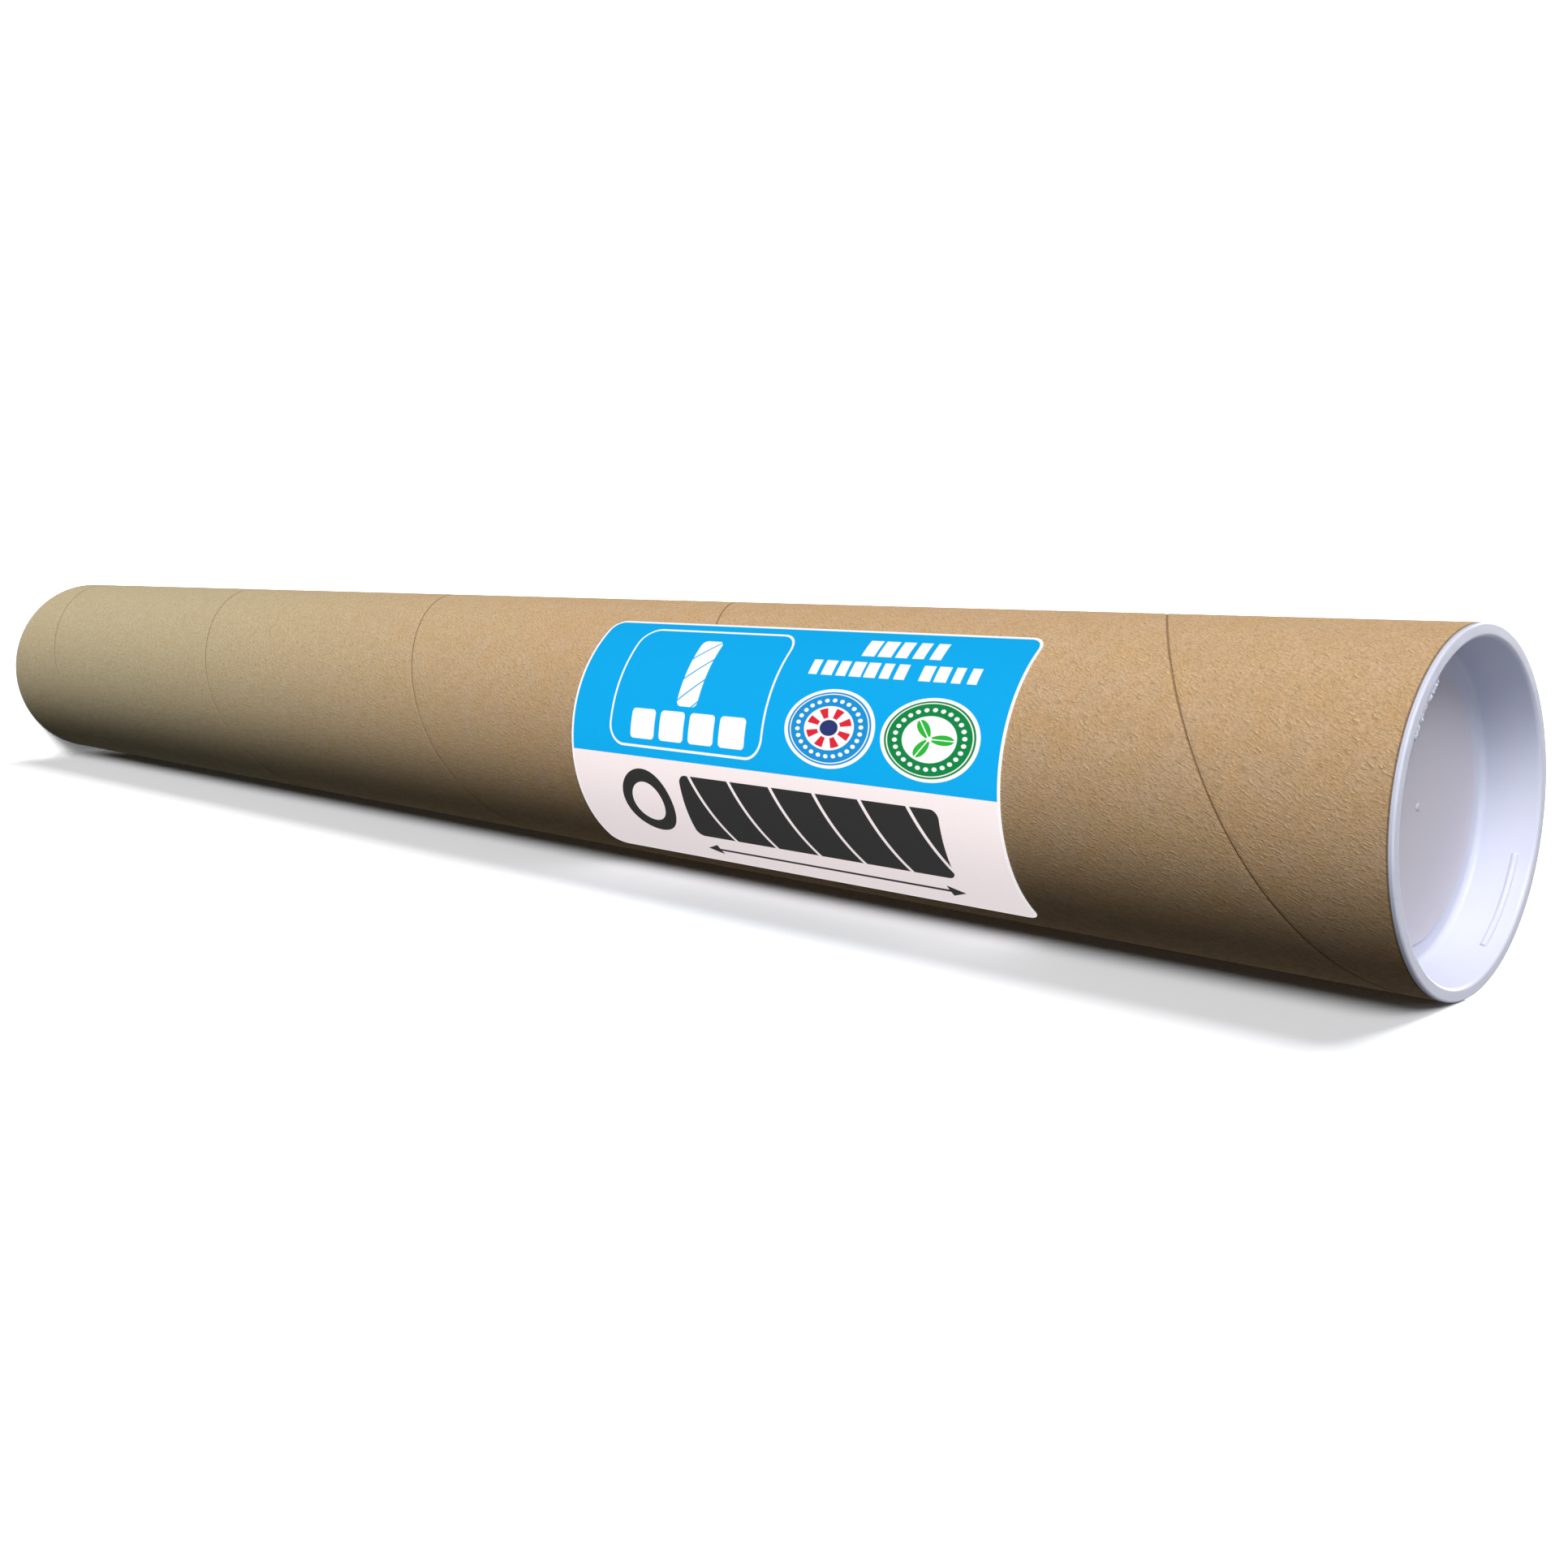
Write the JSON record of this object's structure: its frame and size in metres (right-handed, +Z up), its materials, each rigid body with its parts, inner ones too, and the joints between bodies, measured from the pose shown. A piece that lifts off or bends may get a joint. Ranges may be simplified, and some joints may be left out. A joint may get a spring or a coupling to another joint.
{
  "type": "cardboard mailing tube",
  "caption": "Spiral wound kraft cardboard mailing tube with a push-in white plastic cap at each end and a plain printed sticker round its side.",
  "frame": {"origin": "centre of the far cap's rim, on the ground that the tube stands on", "axes": "+Z up along the tube's axis, from the far cap to the near cap; the sticker faces -Y"},
  "size_m": [0.0798, 0.08, 0.6628],
  "materials": {
    "kraft_board": "uncoated brown kraft paper",
    "cap_plastic": "smooth moulded white",
    "label_print": "coated printed paper"
  },
  "bodies": {
    "far_cap": {"far_end_cap": "cap_plastic"},
    "tube": {"paper_tube": "kraft_board", "label": "label_print"},
    "near_cap": {"near_end_cap": "cap_plastic"}
  },
  "joints": [
    {"name": "tube_lift", "type": "slide", "parent": "far_cap", "child": "tube", "axis": [0, 0, 1], "range_m": [0, 0.1]},
    {"name": "near_cap_pull", "type": "slide", "parent": "tube", "child": "near_cap", "axis": [0, 0, 1], "range_m": [0, 0.1]}
  ]
}
